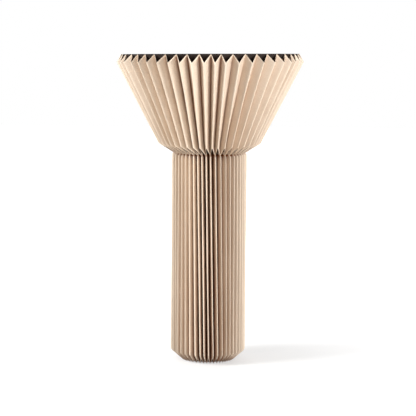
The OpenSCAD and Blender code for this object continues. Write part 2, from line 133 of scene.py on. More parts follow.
# The pleated skin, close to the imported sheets. Angles are in degrees, positive towards the viewer's right
pleatedSkin = {
    "pleats": 48,
    "stepsPerPanel": 8,
    "card": 0.8 * mm,
    # Half the width of the bend at a fold, where it stands out and where it lies in
    "noseOut": 0.8 * mm,
    "noseIn": 0.2 * mm,
    # Radii and heights, from the rim down to the foot
    "rimR": 282 * mm,
    "rimValleyR": 269 * mm,
    "rimDrop": 24 * mm,
    "kinkR": 155 * mm,
    "kinkZ": 661 * mm,
    "hollowR": 86 * mm,
    "hollowZ": 647 * mm,
    "hollowDrop": 31 * mm,
    "tuckIn": 5 * mm,
    "tuckRise": 4 * mm,
    "neckZ": 628.5 * mm,
    "columnR": 113.8 * mm,
    "columnValleyR": 80 * mm,
    "footChamfer": 30 * mm,
    "footCutShare": 0.6,
    # The last share of the way from the hollow up to the kink, over which the fold turns into an outer one
    "turnOverShare": 0.3,
    "slotWidth": 15 * mm,
    "slotHeight": 15 * mm,
    "bendRound": 1.5 * mm,
    "columnRows": 13,
    "flareRows": 14,
    "sharpOver": 60,
    # Rows or points closer than these are one
    "samePoint": 0.1 * mm,
    "joinWithin": 0.01 * mm,
    # Added before a whole number is rounded down, so that it doesn't fall short
    "nudge": 0.001,
    # Paint: the cut edge and folds painted lighter, partly wear and partly painted highlight; painted shade
    # on the inside of the rim; and painted shade, in brown, that reaches out from the inner folds of the
    # column and of the flare
    "cutEdge": 3.2 * mm,
    "wearAndHighlightFrom": 1.0 * mm,
    "wearAndHighlightTo": 4.5 * mm,
    "rimShadeReach": 30 * mm,
    "shadeEdge": 3,
    "shadeDepth": 1.7,
    "columnShadeReach": 33 * mm,
    "flareShadeReach": 12 * mm,
    "flareShade": 0.82,
    "insideShade": 0.3,
    # The painted shade in the flare's folds is whole up to 3 folds from this one, near the front, and from 8
    # folds on it fades to these shares of it, at the kinks and at the rim
    "shadeFold": 70,
    "shadeFolds": (3, 8),
    "fadedShare": (0.4, 0.1),
    # How far across a panel the painted shade in the hollows begins, and where it is whole
    "hollowShare": (0.12, 0.45),
    # The column's folds stand askew: they lean round the axis on their way to the foot
    "twistHigh": 3.6,
    "twistHighZ": 560 * mm,
    "twistLow": 7.4,
    "twistLowZ": 100 * mm,
    # Every fold strays by a share of a fold's width, partly by one amount and partly by one that drifts
    # along it with a noise. Panels belly by such a noise too
    "wobble": 0.28,
    "fixedShare": 0.45,
    "driftShare": 0.55,
    "foldPhase": 3.37,
    "foldDrift": 3.0,
    "panelPhase": 2.71,
    "panelDrift": 5.0,
    "noiseSpan": (0.25, 0.75),
    "radiusWobble": 0.8 * mm,
    "bulge": 1.0 * mm,
    "seed": 7,
    "radiusSeed": 9.0,
    # The skin hangs a little at the front, where its kinks sit lower, and its neck by a share of that
    "kinkSag": 5 * mm,
    "neckSagShare": 0.4,
    "sagReach": 190 * mm,
    # The rim is not cut quite level: it stands lower towards -X
    "rimTilt": 5.5 * mm,
    # How far the folds that face the camera stray on the flare, from fold 56 on the left to 88 on the right.
    # The random stray is a quarter there
    "frontFold": 72,
    "frontFree": 0.25,
    "flareStray": [
        1.7, 1.25, 1.0, 0.75, 0.75, 0.75, 0.9, 0.75, 1.6, 0.95, 1.6, 0.75, 0.9, 0.45, 0.8, 0.2, 0.4,
        -1.05, -1.0, -2.2, -1.2, -1.75, -0.7, -1.25, -0.6, -0.75, 0.0, 0.0, 0.4, 0.75, 1.0, 1.25, 1.0,
    ],
    # The same for the column's ridges, near its top and near its foot
    "highStray": [
        1.6, 1.7, 1.8, 1.8, 1.7, 1.2, 0.2, -0.6, -1.4, -0.95, -0.3, 0.3, 0.5, 0.7, 0.5, 0.3, 0.0,
    ],
    "lowStray": [
        -3.0, -1.6, -0.3, 0.6, 1.7, 2.25, 0.9, 0.55, 0.2, -0.1, 0.0, 0.0, -1.2, -1.6, -1.2, -0.6, 0.0,
    ],
}


# A point part of the way along a bent line of points, with each bend rounded off
def onPath(path, way, bend):
    start = min(int(way), len(path) - 2)
    share = way - start
    length = (path[start + 1] - path[start]).length
    for key, reach in ((start, share * length), (start + 1, (1 - share) * length)):
        if 0 < key < len(path) - 1 and reach < bend:
            side = -1 if key > start else 1
            part = 0.5 + side * reach / bend / 2
            before = path[key] + (path[key - 1] - path[key]).normalized() * bend
            after = path[key] + (path[key + 1] - path[key]).normalized() * bend
            return before * (1 - part) ** 2 + path[key] * 2 * part * (1 - part) + after * part ** 2
    return path[start].lerp(path[start + 1], share)


# Rows of the skin from foot to rim, each from the fold that stands out on the column to the one that lies in
def skinRows(skin):
    height = cadBox[1].z
    depth = skin["columnR"] - skin["columnValleyR"]
    cut = skin["footCutShare"]
    over = skin["turnOverShare"]
    ridge = [Vector(p) for p in (
        (skin["columnR"] - depth * (1 - cut), skin["footChamfer"] * cut),
        (skin["columnR"], skin["footChamfer"]),
        (skin["columnR"], skin["neckZ"]),
        (skin["columnR"] - skin["tuckIn"], skin["neckZ"] + skin["tuckRise"]),
        (skin["rimValleyR"], height))]
    valley = [Vector(p) for p in (
        (skin["columnValleyR"], 0),
        (skin["columnValleyR"], skin["footChamfer"]),
        (skin["columnValleyR"], skin["neckZ"] - skin["hollowDrop"]),
        (skin["hollowR"], skin["hollowZ"]),
        (skin["kinkR"], skin["kinkZ"]),
        (skin["rimR"], height - skin["rimDrop"]))]
    bend = skin["bendRound"]
    kinkRun = bend / (valley[4] - valley[3]).length
    rise = bend / (valley[5] - valley[4]).length
    edge = skin["cutEdge"] / (valley[5] - valley[4]).length
    foot = bend / (valley[2] - valley[1]).length
    # Each row: how far along the two folds it starts and ends, how much lighter it is (partly wear, partly
    # painted highlight), and how much painted shade it takes in a hollow
    steps = [(0, 0, 0.3), (0.5, 0.5, 0), (1 - 0.06, 1 - 0.06, 0), (1, 1, 0.2), (1 + foot, 1 + foot, 0)]
    for k in range(1, skin["columnRows"]):
        steps.append((1 + k / skin["columnRows"], 1 + k / skin["columnRows"], 0))
    # Rows with a fourth value take painted shade in the hollows under the kinks; rows near the kinks and the
    # rim are painted lighter, partly as painted highlight
    steps += [(1.97, 1.97, 0), (2, 2, 0), (2, 2.4, 0, 0.2), (2, 2.65, 0, 0.8), (2, 2.85, 0, 2)]
    steps += [(2.05, 3, 0.3, 2), (2.5, 3, 0.2, 2), (2.95, 3, 0, 2), (3, 3.3, 0, 2), (3, 3.65, 0, 2)]
    steps += [(3, 4 - 2 * kinkRun, 0, 2), (3, 4 - kinkRun, 0.2, 1.6), (3 + rise / 3, 4, 1)]
    steps += [(3 + k * rise, 4 + k * rise, worn) for k, worn in ((2, 1), (3, 0.5), (5, 0))]
    for k in range(1, skin["flareRows"]):
        steps.append((3 + k / skin["flareRows"], 4 + k / skin["flareRows"], 0))
    steps += [(4 - 1.4 * edge, 5 - 1.4 * edge, 0), (4 - edge, 5 - edge, 1), (4, 5, 1)]
    rows = []
    for low, high, wearAndHighlight, *hollow in steps:
        # The ridge fold turns into an inner one above the neck, and the other into an outer one at the kink
        noses = (min(max(3 - low, 0), 1), min(max(high / over - (4 - over) / over, 0), 1))
        shadeAmount = hollow[0] if hollow else 0
        rows.append((onPath(ridge, low, bend), onPath(valley, high, bend), noses, wearAndHighlight, shadeAmount))
    return rows


# The skin's cross-section as a table of points: out along the outer face, back along the inner one
def skinProfile(skin):
    rows = skinRows(skin)
    outer = [[], []]
    inner = [[], []]
    for side in (0, 1):
        line = [row[side] for row in rows]
        for k, row in enumerate(rows):
            here = line[k]
            ahead = next((p for p in line[k + 1:] if (p - here).length > skin["samePoint"]), here)
            back = next((p for p in line[:k][::-1] if (p - here).length > skin["samePoint"]), here)
            run = (ahead - back).normalized()
            inwards = Vector((-run.y, run.x))
            nose = row[2][side]
            wide, narrow = skin["noseOut"], skin["noseIn"]
            outer[side].append((here.x, narrow + (wide - narrow) * nose, here.y, row[3], row[4]))
            behind = here + inwards * skin["card"]
            z = min(max(behind.y, 0), line[-1].y)
            # Painted shade, dark brown, on the inside of the card near the rim
            rimShade = max(1 - (line[-1].y - z) / skin["rimShadeReach"], 0)
            rimShade = min(rimShade * skin["shadeEdge"], skin["shadeDepth"])
            worn = row[3] if k == len(rows) - 1 else 0
            inner[side].append((behind.x, wide + (narrow - wide) * nose, z, worn, rimShade))
    loops = [outer[side] + inner[side][::-1] + outer[side][:1] for side in (0, 1)]

    # One more point for each fold: how far it strays on the flare and at the column's top and foot, the share
    # of its random stray, and its sag
    folds = 2 * skin["pleats"]
    strays = [[0, 0, 0, 1, 0] for k in range(folds)]
    first = skin["frontFold"] - len(skin["flareStray"]) // 2
    last = len(skin["highStray"]) - 1
    for k, flare in enumerate(skin["flareStray"]):
        near = [min(k // 2, last), min((k + 1) // 2, last)]
        high = sum(skin["highStray"][n] for n in near) / 2
        low = sum(skin["lowStray"][n] for n in near) / 2
        strays[first + k] = [math.radians(flare), math.radians(high), math.radians(low), skin["frontFree"], 0]
    for k, stray in enumerate(strays):
        stray[4] = skin["kinkSag"] * max(math.cos((k - skin["frontFold"]) * math.tau / folds), 0) ** 2
    mesh = bpy.data.meshes.new("skinProfile")
    points = loops[0] + loops[1] + strays
    mesh.from_pydata([p[:3] for p in points], [], [])
    for name, part in (("rowWearAndHighlight", 3), ("rowShade", 4)):
        layer = mesh.attributes.new(name, "FLOAT", "POINT")
        layer.data.foreach_set("value", [p[part] for p in points])
    return mesh, len(loops[0])


def pleatTree(skin, rowCount, material):
    tree = bpy.data.node_groups.new("pleatFolds", "GeometryNodeTree")
    face = tree.interface
    face.new_socket("Geometry", in_out="INPUT", socket_type="NodeSocketGeometry")
    sizes = {
        "Pleats": ("NodeSocketInt", skin["pleats"]),
        "Rows": ("NodeSocketInt", rowCount),
        "Steps": ("NodeSocketInt", skin["stepsPerPanel"]),
        "Twist High": ("NodeSocketFloat", math.radians(skin["twistHigh"])),
        "Twist Low": ("NodeSocketFloat", math.radians(skin["twistLow"])),
        "Wobble": ("NodeSocketFloat", skin["wobble"]),
        "Radius Wobble": ("NodeSocketFloat", skin["radiusWobble"]),
        "Bulge": ("NodeSocketFloat", skin["bulge"]),
        "Slot Width": ("NodeSocketFloat", skin["slotWidth"]),
        "Slot Height": ("NodeSocketFloat", skin["slotHeight"]),
        "Seed": ("NodeSocketInt", skin["seed"]),
    }
    for name, (kind, value) in sizes.items():
        face.new_socket(name, in_out="INPUT", socket_type=kind).default_value = value
    face.new_socket("Geometry", in_out="OUTPUT", socket_type="NodeSocketGeometry")
    given = addNode(tree, "NodeGroupInput").outputs
    folds = addNode(tree, "ShaderNodeMath", {0: given["Pleats"], 1: 2.0}, operation="MULTIPLY")
    panels = addNode(tree, "ShaderNodeMath", {0: folds, 1: given["Steps"]}, operation="MULTIPLY")
    columns = addNode(tree, "ShaderNodeMath", {0: panels, 1: 1.0}, operation="ADD")
    grid = addNode(tree, "GeometryNodeMeshGrid", {"Vertices X": columns, "Vertices Y": given["Rows"]})
    index = addNode(tree, "GeometryNodeInputIndex")
    lines = addNode(tree, "ShaderNodeMath", {0: index, 1: given["Rows"]}, operation="DIVIDE")
    column = addNode(tree, "ShaderNodeMath", {0: lines}, operation="FLOOR")
    row = addNode(tree, "ShaderNodeMath", {0: index, 1: given["Rows"]}, operation="MODULO")

    # Which panel a column lies on, how far across it from the ridge fold, and to which side the panel leads
    across = addNode(tree, "ShaderNodeMath", {0: column, 1: given["Steps"]}, operation="DIVIDE")
    nudged = addNode(tree, "ShaderNodeMath", {0: across, 1: skin["nudge"]}, operation="ADD")
    panel = addNode(tree, "ShaderNodeMath", {0: nudged}, operation="FLOOR")
    odd = addNode(tree, "ShaderNodeMath", {0: panel, 1: 2.0}, operation="MODULO")
    rest = addNode(tree, "ShaderNodeMath", {0: across, 1: panel}, operation="SUBTRACT")
    signed = addNode(tree, "ShaderNodeMath", {0: odd, 1: rest}, operation="SUBTRACT")
    fromRidge = addNode(tree, "ShaderNodeMath", {0: signed}, operation="ABSOLUTE")
    twice = addNode(tree, "ShaderNodeMath", {0: odd, 1: -2.0}, operation="MULTIPLY")
    side = addNode(tree, "ShaderNodeMath", {0: twice, 1: 1.0}, operation="ADD")
    # Columns crowd towards the folds, where the card is rounded
    far = addNode(tree, "ShaderNodeMath", {0: fromRidge, 1: 0.5}, operation="GREATER_THAN")
    gap = addNode(tree, "ShaderNodeMath", {0: far, 1: fromRidge}, operation="SUBTRACT")
    near = addNode(tree, "ShaderNodeMath", {0: gap}, operation="ABSOLUTE")
    whole = addNode(tree, "ShaderNodeMath", {0: near, 1: 2.0}, operation="MULTIPLY")
    cubed = addNode(tree, "ShaderNodeMath", {0: whole, 1: 3.0}, operation="POWER")
    crowded = addNode(tree, "ShaderNodeMath", {0: cubed, 1: 0.5}, operation="MULTIPLY")
    offset = addNode(tree, "ShaderNodeMath", {0: far, 1: crowded}, operation="SUBTRACT")
    share = addNode(tree, "ShaderNodeMath", {0: offset}, operation="ABSOLUTE")

    place = addNode(tree, "GeometryNodeInputPosition")
    rowWearAndHighlight = addNode(tree, "GeometryNodeInputNamedAttribute", {"Name": "rowWearAndHighlight"}, data_type="FLOAT")
    rowShade = addNode(tree, "GeometryNodeInputNamedAttribute", {"Name": "rowShade"}, data_type="FLOAT")
    # Each end of a panel: its fold's place in this row, the way along the skin there, its rounding, its
    # painted shade
    ends = []
    for isValley in (0, 1):
        step = addNode(tree, "ShaderNodeMath", {0: odd, 1: panel}, operation="ADD")
        profileRow = row
        if isValley:
            before = addNode(tree, "ShaderNodeMath", {0: panel, 1: odd}, operation="SUBTRACT")
            step = addNode(tree, "ShaderNodeMath", {0: before, 1: 1.0}, operation="ADD")
            profileRow = addNode(tree, "ShaderNodeMath", {0: row, 1: given["Rows"]}, operation="ADD")
        nudged = addNode(tree, "ShaderNodeMath", {0: step, 1: skin["nudge"]}, operation="ADD")
        around = addNode(tree, "ShaderNodeMath", {0: nudged, 1: folds}, operation="MODULO")
        fold = addNode(tree, "ShaderNodeMath", {0: around}, operation="FLOOR")
        # What the profile holds for this row, and its extra point for this fold
        afterRows = addNode(tree, "ShaderNodeMath", {0: given["Rows"], 1: 2.0}, operation="MULTIPLY")
        foldPoint = addNode(tree, "ShaderNodeMath", {0: afterRows, 1: fold}, operation="ADD")
        point, stay, free, sag = [
            addNode(tree, "GeometryNodeSampleIndex", {
                "Geometry": given["Geometry"], "Value": value, "Index": where},
                data_type=kind, domain="POINT")
            for value, where, kind in (
                (place, profileRow, "FLOAT_VECTOR"), (place, foldPoint, "FLOAT_VECTOR"),
                (rowWearAndHighlight, foldPoint, "FLOAT"), (rowShade, foldPoint, "FLOAT"))]
        parts = addNode(tree, "ShaderNodeSeparateXYZ", {0: point}).outputs
        stays = addNode(tree, "ShaderNodeSeparateXYZ", {0: stay}).outputs

        # Each fold strays from its place by its own amount, which drifts slowly along it
        stray = addNode(tree, "FunctionNodeRandomValue", {
            2: -1.0, 3: 1.0, "ID": fold, "Seed": given["Seed"]}, data_type="FLOAT")
        foldAway = addNode(tree, "ShaderNodeMath", {0: fold, 1: skin["foldPhase"]}, operation="MULTIPLY")
        upAway = addNode(tree, "ShaderNodeMath", {0: parts["Z"], 1: skin["foldDrift"]}, operation="MULTIPLY")
        drift = addNode(tree, "ShaderNodeTexNoise", {
            "Vector": addNode(tree, "ShaderNodeCombineXYZ", {0: foldAway, 1: upAway, 2: given["Seed"]}),
            "Scale": 1.0, "Detail": 1.0}, noise_dimensions="3D")
        drifted = addNode(tree, "ShaderNodeMapRange", {
            0: drift.outputs[0], 1: skin["noiseSpan"][0], 2: skin["noiseSpan"][1], 3: -1.0, 4: 1.0})
        fixed = addNode(tree, "ShaderNodeMath", {
            0: stray.outputs[1], 1: skin["fixedShare"]}, operation="MULTIPLY")
        moving = addNode(tree, "ShaderNodeMath", {0: drifted, 1: skin["driftShare"]}, operation="MULTIPLY")
        off = addNode(tree, "ShaderNodeMath", {0: fixed, 1: moving}, operation="ADD")
        # Its lean round the axis, with the measured strays of the front
        leanLow = addNode(tree, "ShaderNodeMath", {0: given["Twist Low"], 1: stays["Z"]}, operation="ADD")
        leanHigh = addNode(tree, "ShaderNodeMath", {0: given["Twist High"], 1: stays["Y"]}, operation="ADD")
        lean = addNode(tree, "ShaderNodeMapRange", {
            0: parts["Z"], 1: skin["twistLowZ"], 2: skin["twistHighZ"], 3: leanLow, 4: leanHigh}, clamp=False)
        askew = addNode(tree, "ShaderNodeMapRange", {
            0: parts["Z"], 1: skin["neckZ"], 2: skin["kinkZ"], 3: lean, 4: stays["X"]})
        loose = addNode(tree, "ShaderNodeMath", {0: off, 1: free}, operation="MULTIPLY")
        swung = addNode(tree, "ShaderNodeMath", {0: loose, 1: given["Wobble"]}, operation="MULTIPLY")
        turn = addNode(tree, "ShaderNodeMath", {0: swung, 1: fold}, operation="ADD")
        radians = addNode(tree, "ShaderNodeMath", {0: turn, 1: math.tau}, operation="MULTIPLY")
        even = addNode(tree, "ShaderNodeMath", {0: radians, 1: folds}, operation="DIVIDE")
        angle = addNode(tree, "ShaderNodeMath", {0: even, 1: askew}, operation="ADD")
        otherSeed = addNode(tree, "ShaderNodeMath", {
            0: given["Seed"], 1: skin["radiusSeed"]}, operation="ADD")
        shrink = addNode(tree, "FunctionNodeRandomValue", {
            2: 0.0, 3: given["Radius Wobble"], "ID": fold, "Seed": otherSeed}, data_type="FLOAT")
        radius = addNode(tree, "ShaderNodeMath", {0: parts["X"], 1: shrink.outputs[1]}, operation="SUBTRACT")
        cosine = addNode(tree, "ShaderNodeMath", {0: angle}, operation="COSINE")
        sine = addNode(tree, "ShaderNodeMath", {0: angle}, operation="SINE")

        # The sag is whole at the kink or the neck, and dies out below it and up the flare
        top = skin["kinkZ" if isValley else "neckZ"]
        foot = skin["hollowZ"] if isValley else top - skin["hollowDrop"]
        most = 1.0 if isValley else skin["neckSagShare"]
        below = addNode(tree, "ShaderNodeMapRange", {
            0: parts["Z"], 1: foot, 2: top, 4: most}, interpolation_type="SMOOTHSTEP")
        above = addNode(tree, "ShaderNodeMapRange", {
            0: parts["Z"], 1: skin["kinkZ"], 2: skin["kinkZ"] + skin["sagReach"], 3: 1.0, 4: 0.0},
            interpolation_type="SMOOTHSTEP")
        both = addNode(tree, "ShaderNodeMath", {0: below, 1: above}, operation="MULTIPLY")
        drop = addNode(tree, "ShaderNodeMath", {0: both, 1: sag}, operation="MULTIPLY")
        # The tilt of the rim grows from nothing at the kinks
        lower = addNode(tree, "ShaderNodeMapRange", {0: cosine, 1: 1.0, 2: -1.0, 4: skin["rimTilt"]})
        upwards = addNode(tree, "ShaderNodeMapRange", {0: parts["Z"], 1: skin["kinkZ"], 2: cadBox[1].z})
        tilt = addNode(tree, "ShaderNodeMath", {0: lower, 1: upwards}, operation="MULTIPLY")
        sagged = addNode(tree, "ShaderNodeMath", {0: parts["Z"], 1: drop}, operation="SUBTRACT")
        foldAt = addNode(tree, "ShaderNodeCombineXYZ", {
            0: addNode(tree, "ShaderNodeMath", {0: radius, 1: cosine}, operation="MULTIPLY"),
            1: addNode(tree, "ShaderNodeMath", {0: radius, 1: sine}, operation="MULTIPLY"),
            2: addNode(tree, "ShaderNodeMath", {0: sagged, 1: tilt}, operation="SUBTRACT")})
        along = addNode(tree, "ShaderNodeCombineXYZ", {
            0: addNode(tree, "ShaderNodeMath", {0: sine, 1: -1.0}, operation="MULTIPLY"), 1: cosine})

        # How much painted shade, in brown, the inner folds take: on the flare it fades away from the folds at
        # the front, and on the inside it is pale
        if isValley:
            foldShadeLevel = addNode(tree, "ShaderNodeMapRange", {
                0: parts["Z"], 1: skin["hollowZ"], 2: skin["kinkZ"], 3: 1.0, 4: skin["insideShade"]})
        else:
            atKink, atRim = [skin["flareShade"] * k for k in skin["fadedShare"]]
            faded = addNode(tree, "ShaderNodeMapRange", {
                0: parts["Z"], 1: skin["kinkZ"], 2: cadBox[1].z, 3: atKink, 4: atRim})
            apart = addNode(tree, "ShaderNodeMath", {0: fold, 1: skin["shadeFold"]}, operation="SUBTRACT")
            foldShadeLevel = addNode(tree, "ShaderNodeMapRange", {
                0: addNode(tree, "ShaderNodeMath", {0: apart}, operation="ABSOLUTE"),
                1: skin["shadeFolds"][0], 2: skin["shadeFolds"][1], 3: skin["flareShade"], 4: faded},
                interpolation_type="SMOOTHSTEP")
        ends.append((foldAt, along, parts["Y"], foldShadeLevel))

    # Near a fold the card bends round a nose; if the nose is wide it is painted lighter, partly wear and
    # partly painted highlight, and if it is narrow it takes painted shade
    length = addNode(tree, "ShaderNodeVectorMath", {0: ends[0][0], 1: ends[1][0]}, operation="DISTANCE")
    turned = []
    wearsAndHighlights = []
    foldShades = []
    for isValley, (foldAt, along, nose, foldShadeLevel) in enumerate(ends):
        part = share
        if isValley:
            part = addNode(tree, "ShaderNodeMath", {0: 1.0, 1: share}, operation="SUBTRACT")
        away = addNode(tree, "ShaderNodeMath", {0: part, 1: length.outputs["Value"]}, operation="MULTIPLY")
        noses = addNode(tree, "ShaderNodeMath", {0: away, 1: nose}, operation="DIVIDE")
        gone = addNode(tree, "ShaderNodeMath", {0: noses, 1: 1.0}, operation="MINIMUM")
        left = addNode(tree, "ShaderNodeMath", {0: 1.0, 1: gone}, operation="SUBTRACT")
        squared = addNode(tree, "ShaderNodeMath", {0: left, 1: left}, operation="MULTIPLY")
        other = addNode(tree, "ShaderNodeMath", {0: 1.0, 1: squared}, operation="SUBTRACT")
        rounded = addNode(tree, "ShaderNodeMath", {0: other}, operation="SQRT")
        wide = addNode(tree, "ShaderNodeMath", {0: rounded, 1: nose}, operation="MULTIPLY")
        out = addNode(tree, "ShaderNodeMath", {0: wide, 1: side}, operation="MULTIPLY")
        if isValley:
            out = addNode(tree, "ShaderNodeMath", {0: out, 1: -1.0}, operation="MULTIPLY")
        shift = addNode(tree, "ShaderNodeVectorMath", {0: along, "Scale": out}, operation="SCALE")
        turned.append(addNode(tree, "ShaderNodeVectorMath", {0: foldAt, 1: shift}, operation="ADD"))
        sharp = addNode(tree, "ShaderNodeMapRange", {0: nose, 1: skin["noseIn"], 2: skin["noseOut"]})
        close = addNode(tree, "ShaderNodeMapRange", {
            0: away, 1: skin["wearAndHighlightFrom"], 2: skin["wearAndHighlightTo"], 3: 1.0, 4: 0.0})
        wearsAndHighlights.append(addNode(tree, "ShaderNodeMath", {0: sharp, 1: close}, operation="MULTIPLY"))
        blunt = addNode(tree, "ShaderNodeMapRange", {
            0: nose, 1: skin["noseIn"], 2: skin["noseOut"], 3: foldShadeLevel, 4: 0.0})
        reach = skin["columnShadeReach" if isValley else "flareShadeReach"]
        reached = addNode(tree, "ShaderNodeMapRange", {
            0: away, 1: 0.0, 2: reach, 3: 1.0, 4: 0.0},
            interpolation_type="SMOOTHSTEP")
        foldShades.append(addNode(tree, "ShaderNodeMath", {0: blunt, 1: reached}, operation="MULTIPLY"))
    flat = addNode(tree, "ShaderNodeMix", {
        0: share, 4: turned[0], 5: turned[1]}, data_type="VECTOR", factor_mode="UNIFORM")

    # Panels are not quite flat: each bellies a little, by an amount that drifts along it
    height = addNode(tree, "ShaderNodeSeparateXYZ", {0: flat.outputs[1]}).outputs["Z"]
    belly = addNode(tree, "ShaderNodeTexNoise", {
        "Vector": addNode(tree, "ShaderNodeCombineXYZ", {
            0: addNode(tree, "ShaderNodeMath", {0: panel, 1: skin["panelPhase"]}, operation="MULTIPLY"),
            1: addNode(tree, "ShaderNodeMath", {0: height, 1: skin["panelDrift"]}, operation="MULTIPLY"),
            2: given["Seed"]}),
        "Scale": 1.0, "Detail": 1.0})
    swing = addNode(tree, "ShaderNodeMapRange", {
        0: belly.outputs[0], 1: skin["noiseSpan"][0], 2: skin["noiseSpan"][1], 3: -1.0, 4: 1.0})
    halfTurn = addNode(tree, "ShaderNodeMath", {0: share, 1: math.pi}, operation="MULTIPLY")
    arch = addNode(tree, "ShaderNodeMath", {0: halfTurn}, operation="SINE")
    swung = addNode(tree, "ShaderNodeMath", {0: swing, 1: arch}, operation="MULTIPLY")
    bow = addNode(tree, "ShaderNodeMath", {0: swung, 1: given["Bulge"]}, operation="MULTIPLY")
    sideways = addNode(tree, "ShaderNodeVectorMath", {0: ends[0][1], "Scale": bow}, operation="SCALE")
    bowed = addNode(tree, "ShaderNodeVectorMath", {0: flat.outputs[1], 1: sideways}, operation="ADD")

    # What the card's paint reads: how much lighter a point is, partly wear and partly painted highlight, and
    # how much painted shade it takes
    ridgeWearAndHighlight, hollow = [
        addNode(tree, "GeometryNodeSampleIndex", {
            "Geometry": given["Geometry"], "Value": value, "Index": row}, data_type="FLOAT", domain="POINT")
        for value in (rowWearAndHighlight, rowShade)]
    foldWearAndHighlight = addNode(tree, "ShaderNodeMath", {0: wearsAndHighlights[0], 1: wearsAndHighlights[1]}, operation="MAXIMUM")
    wearAndHighlight = addNode(tree, "ShaderNodeMath", {0: foldWearAndHighlight, 1: ridgeWearAndHighlight}, operation="MAXIMUM")
    inHollow = addNode(tree, "ShaderNodeMapRange", {
        0: share, 1: skin["hollowShare"][0], 2: skin["hollowShare"][1]}, interpolation_type="SMOOTHSTEP")
    hollowShade = addNode(tree, "ShaderNodeMath", {0: hollow, 1: inHollow}, operation="MULTIPLY")
    foldShade = addNode(tree, "ShaderNodeMath", {0: foldShades[0], 1: foldShades[1]}, operation="MAXIMUM")
    shadeAmount = addNode(tree, "ShaderNodeMath", {0: foldShade, 1: hollowShade}, operation="MAXIMUM")
    kept = grid
    for name, value in (("foldWearAndHighlight", wearAndHighlight), ("foldShade", shadeAmount)):
        kept = addNode(tree, "GeometryNodeStoreNamedAttribute", {
            "Geometry": kept, "Name": name, "Value": value}, data_type="FLOAT", domain="POINT")
    placed = addNode(tree, "GeometryNodeSetPosition", {"Geometry": kept, "Position": bowed})
    closed = addNode(tree, "GeometryNodeMergeByDistance", {
        "Geometry": placed, "Distance": skin["joinWithin"]})
    # The slot for the cord, at the back of the foot
    slot = addNode(tree, "GeometryNodeMeshCube", {
        "Size": addNode(tree, "ShaderNodeCombineXYZ", {
            0: given["Slot Width"], 1: skin["columnR"], 2: given["Slot Height"]})})
    raised = addNode(tree, "ShaderNodeMath", {0: given["Slot Height"], 1: 0.5}, operation="MULTIPLY")
    atBack = addNode(tree, "ShaderNodeCombineXYZ", {1: skin["columnR"], 2: raised})
    moved = addNode(tree, "GeometryNodeTransform", {"Geometry": slot, "Translation": atBack})
    pierced = addNode(tree, "GeometryNodeMeshBoolean", {
        "Mesh 1": closed, "Mesh 2": moved}, operation="DIFFERENCE")
    real = addNode(tree, "GeometryNodeRealizeInstances", {"Geometry": pierced})
    painted = addNode(tree, "GeometryNodeSetMaterial", {"Geometry": real, "Material": material})
    addNode(tree, "NodeGroupOutput", {"Geometry": painted})
    return tree


def makeSkin():
    print("pleated skin")
    skin = pleatedSkin
    card = kraftCard()
    profile, rowCount = skinProfile(skin)
    maker = bpy.data.objects.new("skinMaker", profile)
    bpy.context.collection.objects.link(maker)
    folds = maker.modifiers.new("folds", "NODES")
    folds.node_group = pleatTree(skin, rowCount, card)
    graph = bpy.context.evaluated_depsgraph_get()
    mesh = bpy.data.meshes.new_from_object(maker.evaluated_get(graph))
    bpy.data.objects.remove(maker)
    piece = bpy.data.objects.new("pleatedSkin", mesh)
    bpy.context.collection.objects.link(piece)
    for polygon in mesh.polygons:
        polygon.use_smooth = True
    mesh.set_sharp_from_angle(angle=math.radians(skin["sharpOver"]))
    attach(piece, "shade")
    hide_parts(*[f"paper_sheet_{k}" for k in range(1, 7)])


makeSkin()


# Solid board dyed black in the pulp: matt, with grey fibres and a rubbed bloom
def blackBoard():
    material, tree, shader, place = newMaterial("blackBoard")
    fibre = addNode(tree, "ShaderNodeTexNoise", {"Vector": place, "Scale": 1 / (3 * mm), "Detail": 5})
    bloom = addNode(tree, "ShaderNodeTexNoise", {"Vector": place, "Scale": 1 / (45 * mm), "Detail": 3})
    dyed = addNode(tree, "ShaderNodeMix", {
        "Factor": addNode(tree, "ShaderNodeMapRange", {0: bloom.outputs["Fac"], 1: 0.35, 2: 0.7}),
        6: hexColour("#2E2622"), 7: hexColour("#3D332E")}, data_type="RGBA")
    flecked = addNode(tree, "ShaderNodeMix", {
        "Factor": addNode(tree, "ShaderNodeMapRange", {0: fibre.outputs["Fac"], 1: 0.55, 2: 0.8}),
        6: dyed.outputs[2], 7: hexColour("#453D38")}, data_type="RGBA")
    tree.links.new(flecked.outputs[2], shader.inputs["Base Color"])
    shader.inputs["Roughness"].default_value = 0.85
    shader.inputs["Specular IOR Level"].default_value = 0.15
    bump = addNode(tree, "ShaderNodeBump", {
        "Height": fibre.outputs["Fac"], "Strength": 0.4, "Distance": 0.3 * mm})
    tree.links.new(bump.outputs["Normal"], shader.inputs["Normal"])
    return material


# Polyester powder coat baked on steel: orange peel about 1.5 mm across, duller where it is thin
def powderCoat(name, code, worn, roughness):
    material, tree, shader, place = newMaterial(name)
    peel = addNode(tree, "ShaderNodeTexNoise", {"Vector": place, "Scale": 1 / (1.5 * mm), "Detail": 2})
    dust = addNode(tree, "ShaderNodeTexNoise", {"Vector": place, "Scale": 1 / (25 * mm), "Detail": 4})
    tint = addNode(tree, "ShaderNodeMix", {
        "Factor": addNode(tree, "ShaderNodeMapRange", {0: dust.outputs["Fac"], 1: 0.45, 2: 0.8}),
        6: hexColour(code), 7: hexColour(worn)}, data_type="RGBA")
    tree.links.new(tint.outputs[2], shader.inputs["Base Color"])
    rough = addNode(tree, "ShaderNodeMapRange", {
        0: dust.outputs["Fac"], 1: 0.3, 2: 0.7, 3: roughness - 0.08, 4: roughness + 0.12})
    tree.links.new(rough.outputs[0], shader.inputs["Roughness"])
    bump = addNode(tree, "ShaderNodeBump", {
        "Height": peel.outputs["Fac"], "Strength": 0.25, "Distance": 0.1 * mm})
    tree.links.new(bump.outputs["Normal"], shader.inputs["Normal"])
    return material


